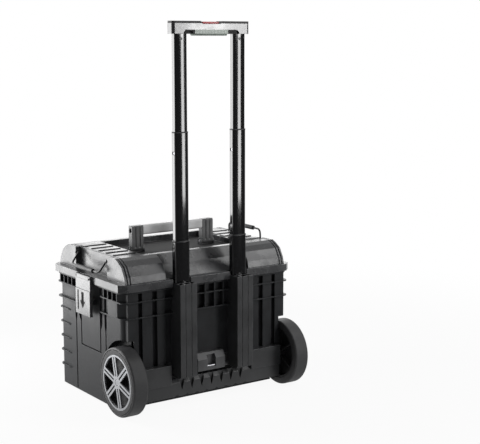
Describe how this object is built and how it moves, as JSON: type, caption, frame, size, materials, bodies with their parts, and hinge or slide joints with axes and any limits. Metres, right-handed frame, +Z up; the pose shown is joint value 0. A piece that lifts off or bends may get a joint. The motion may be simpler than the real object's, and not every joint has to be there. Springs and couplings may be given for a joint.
{
  "type": "rolling toolbox",
  "caption": "Wheeled plastic tool case with a hinged latching lid, a folding carry handle, side bails and a telescopic pull handle with a release button.",
  "frame": {"origin": "on the ground under the middle of the bounding box", "axes": "+X to the right seen from the pull handle, +Y from the pull handle to the front, +Z up"},
  "size_m": [0.554, 0.455, 0.9956],
  "materials": {
    "case_plastic": "fine moulded grain, matte black",
    "lid_plastic": "fine moulded grain, matte black",
    "handle_plastic": "satin dark grey",
    "latch_plastic": "satin black",
    "rubber": "matte",
    "grip_rubber": "soft ribbed",
    "steel": "zinc plated",
    "black_wire": "black coated wire",
    "sleeve_plastic": "ribbed sleeve",
    "black_tube": "glossy black coating",
    "collar_plastic": "satin black",
    "grip_plastic": "satin black",
    "red_plastic": "satin red",
    "tyre_rubber": "smooth moulded",
    "hub_plastic": "matte black",
    "silver_trim": "silver paint"
  },
  "bodies": {
    "tub": {"tub_shell": "case_plastic", "hinge_pins": "steel", "front_feet": "rubber", "axle_carrier": "case_plastic", "body_screws": "steel", "axle": "steel", "axle_caps": "silver_trim", "rear_catch": "case_plastic", "catch_bar": "steel", "handle_channel_left": "case_plastic", "handle_channel_right": "case_plastic", "base_tube_left": "black_tube", "base_tube_right": "black_tube", "base_collar_left": "collar_plastic", "base_collar_right": "collar_plastic", "latch_keeper_left": "case_plastic", "latch_keeper_right": "case_plastic"},
    "lid": {"lid_shell": "lid_plastic", "lid_seal": "rubber", "bail_ears": "lid_plastic", "handle_pivot_left": "lid_plastic", "handle_pivot_right": "lid_plastic", "latch_pin_left": "steel", "latch_pin_right": "steel"},
    "carry_handle": {"carry_bar": "handle_plastic", "carry_arm_left": "handle_plastic", "carry_arm_right": "handle_plastic", "carry_pins": "steel"},
    "bail_left": {"bail_wire_left": "black_wire", "bail_sleeve_left": "sleeve_plastic"},
    "bail_right": {"bail_wire_right": "black_wire", "bail_sleeve_right": "sleeve_plastic"},
    "latch_left": {"latch_flap_left": "latch_plastic"},
    "latch_right": {"latch_flap_right": "latch_plastic"},
    "handle_middle": {"middle_tube_left": "black_tube", "middle_tube_right": "black_tube", "middle_collar_left": "collar_plastic", "middle_collar_right": "collar_plastic", "middle_glides": "collar_plastic"},
    "handle_upper": {"upper_tube_left": "black_tube", "upper_tube_right": "black_tube", "grip_shell": "grip_plastic", "grip_pad": "grip_rubber", "grip_screws": "steel", "lock_block_left": "collar_plastic", "lock_block_right": "collar_plastic"},
    "release": {"release_button": "red_plastic", "release_bridge": "collar_plastic", "push_rods": "steel"},
    "lock_pins": {"lock_pins": "steel"},
    "wheel_left": {"tyre_left": "tyre_rubber", "hub_left": "hub_plastic", "trim_left": "silver_trim", "bush_left": "collar_plastic"},
    "wheel_right": {"tyre_right": "tyre_rubber", "hub_right": "hub_plastic", "trim_right": "silver_trim", "bush_right": "collar_plastic"}
  },
  "joints": [
    {"name": "lid_hinge", "type": "hinge", "parent": "tub", "child": "lid", "pos_m": [0, 0.222, 0.3165], "axis": [-1, 0, 0], "range_deg": [0, 95]},
    {"name": "carry_handle_fold", "type": "hinge", "parent": "lid", "child": "carry_handle", "pos_m": [0, 0.035, 0.394], "axis": [1, 0, 0], "range_deg": [-88, 88]},
    {"name": "bail_left_swing", "type": "hinge", "parent": "lid", "child": "bail_left", "pos_m": [-0.246, 0.035, 0.386], "axis": [0, 1, 0], "range_deg": [0, 146]},
    {"name": "bail_right_swing", "type": "hinge", "parent": "lid", "child": "bail_right", "pos_m": [0.246, 0.035, 0.386], "axis": [0, 1, 0], "range_deg": [0, 146]},
    {"name": "latch_left_swing", "type": "hinge", "parent": "lid", "child": "latch_left", "pos_m": [-0.2726, 0.035, 0.3366], "axis": [0, 1, 0], "range_deg": [0, 110]},
    {"name": "latch_right_swing", "type": "hinge", "parent": "lid", "child": "latch_right", "pos_m": [0.2726, 0.035, 0.3366], "axis": [0, -1, 0], "range_deg": [0, 110]},
    {"name": "middle_stage_slide", "type": "slide", "parent": "tub", "child": "handle_middle", "axis": [0, 0, 1], "range_m": [-0.276, 0]},
    {"name": "upper_stage_slide", "type": "slide", "parent": "handle_middle", "child": "handle_upper", "axis": [0, 0, 1], "range_m": [-0.244, 0]},
    {"name": "release_press", "type": "slide", "parent": "handle_upper", "child": "release", "axis": [0, 0, -1], "range_m": [0, 0.0055], "stiffness_N_per_m": 600},
    {"name": "lock_pins_draw", "type": "slide", "parent": "handle_upper", "child": "lock_pins", "axis": [1, 0, 0], "range_m": [0, 0.004]},
    {"name": "wheel_left_spin", "type": "hinge", "parent": "tub", "child": "wheel_left", "pos_m": [-0.254, -0.1375, 0.09], "axis": [1, 0, 0], "continuous": true},
    {"name": "wheel_right_spin", "type": "hinge", "parent": "tub", "child": "wheel_right", "pos_m": [0.254, -0.1375, 0.09], "axis": [1, 0, 0], "continuous": true}
  ],
  "couplings": [
    {"joint": "lock_pins_draw", "follows": "release_press", "ratio": 0.727}
  ]
}
